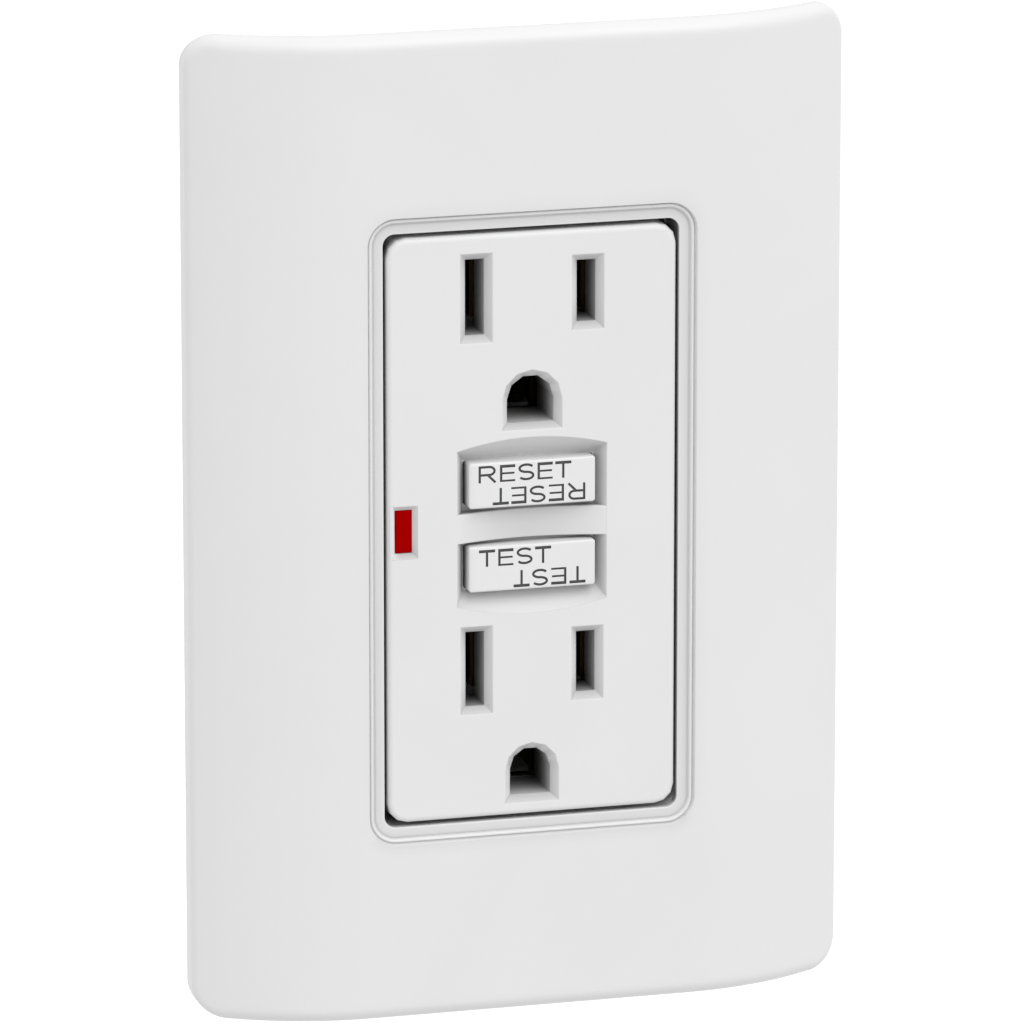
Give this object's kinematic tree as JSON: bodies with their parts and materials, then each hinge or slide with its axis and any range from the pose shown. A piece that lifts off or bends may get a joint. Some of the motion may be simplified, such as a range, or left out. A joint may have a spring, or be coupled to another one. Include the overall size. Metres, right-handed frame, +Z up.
{
  "type": "ground fault outlet",
  "caption": "Wall outlet with slotted sockets, ground holes, push buttons over a latch and trip mechanism, and a curved screwless cover plate.",
  "frame": {"origin": "middle of the device on the wall's surface, at the back rim of the mounting plate", "axes": "+X right seen from the room, +Y into the wall, +Z up"},
  "size_m": [0.0748, 0.0397, 0.1116],
  "materials": {
    "white_plastic": "satin moulded white",
    "button_plastic": "satin moulded white",
    "inner_plate_plastic": "moulded white",
    "frame_plastic": "moulded light grey",
    "housing_plastic": "moulded grey",
    "mechanism_plastic": "moulded black",
    "ring_plastic": "moulded natural",
    "red_lens": "translucent red",
    "zinc_steel": "zinc plated",
    "spring_steel": "bright wire",
    "strip_brass": "stamped",
    "screw_brass": "turned",
    "silver_contact": "silver faced",
    "green_steel": "green dyed zinc",
    "fibre": "pressed fibre",
    "board_laminate": "green solder mask",
    "coil_copper": "enamelled winding",
    "ferrite": "sintered",
    "ceramic_blue": "dipped coating",
    "chip_black": "moulded",
    "resistor_tan": "coated"
  },
  "bodies": {
    "device": {"faceplate": "white_plastic", "mounting_plate": "inner_plate_plastic", "plate_screws": "zinc_steel", "yoke_strap": "zinc_steel", "box_screws": "zinc_steel", "screw_retainers": "fibre", "face_cover": "white_plastic", "indicator_lens": "red_lens", "reset_spring": "spring_steel", "center_frame": "frame_plastic", "rear_housing": "housing_plastic", "housing_screws": "zinc_steel", "neutral_load_strip": "strip_brass", "hot_load_strip": "strip_brass", "neutral_line_terminal": "strip_brass", "hot_line_terminal": "strip_brass", "neutral_terminal_screws": "zinc_steel", "hot_terminal_screws": "screw_brass", "neutral_pressure_plates": "zinc_steel", "hot_pressure_plates": "strip_brass", "ground_screw": "green_steel", "upper_ground_contact": "strip_brass", "lower_ground_contact": "strip_brass", "circuit_board": "board_laminate", "test_leaf": "spring_steel", "test_resistor": "resistor_tan", "fixed_contacts": "silver_contact", "neutral_contact_arm": "strip_brass", "hot_contact_arm": "strip_brass", "latch_guide": "mechanism_plastic", "solenoid_bobbin": "ring_plastic", "solenoid_coil": "coil_copper", "solenoid_frame": "zinc_steel", "plunger_spring": "spring_steel", "transformer_housing": "ring_plastic", "neutral_core": "ferrite", "neutral_winding": "coil_copper", "sense_core": "ferrite", "sense_winding": "coil_copper", "varistor": "ceramic_blue", "capacitors": "ceramic_blue", "control_chip": "chip_black", "silicon_switch": "chip_black", "indicator_led": "red_lens"},
    "reset": {"reset_button": "button_plastic", "reset_pin": "zinc_steel"},
    "test": {"test_button": "button_plastic"},
    "carriage": {"latch_block": "mechanism_plastic", "moving_contacts": "silver_contact", "latch_spring": "spring_steel"},
    "latch": {"latch_plate": "zinc_steel"},
    "plunger": {"plunger": "zinc_steel"}
  },
  "joints": [
    {"name": "reset_press", "type": "slide", "parent": "device", "child": "reset", "axis": [0, 1, 0], "range_m": [0, 0.002], "stiffness_N_per_m": 300, "springref_m": -0.004, "deforming": ["reset_spring"]},
    {"name": "test_press", "type": "slide", "parent": "device", "child": "test", "axis": [0, 1, 0], "range_m": [0, 0.0015], "stiffness_N_per_m": 300, "springref_m": -0.003, "deforming": ["test_leaf"]},
    {"name": "carriage_drop", "type": "slide", "parent": "device", "child": "carriage", "axis": [0, 1, 0], "range_m": [0, 0.002], "stiffness_N_per_m": 200, "springref_m": -0.003, "deforming": ["neutral_contact_arm", "hot_contact_arm"]},
    {"name": "plunger_stroke", "type": "slide", "parent": "device", "child": "plunger", "axis": [0, 0, 1], "range_m": [0, 0.0015], "stiffness_N_per_m": 200, "springref_m": -0.004, "deforming": ["plunger_spring"]},
    {"name": "latch_release", "type": "slide", "parent": "carriage", "child": "latch", "axis": [0, 0, 1], "range_m": [0, 0.0015], "stiffness_N_per_m": 100, "springref_m": -0.003, "deforming": ["latch_spring"]}
  ],
  "couplings": [
    {"joint": "carriage_drop", "follows": "reset_press", "ratio": 1},
    {"joint": "latch_release", "follows": "plunger_stroke", "ratio": 1}
  ]
}
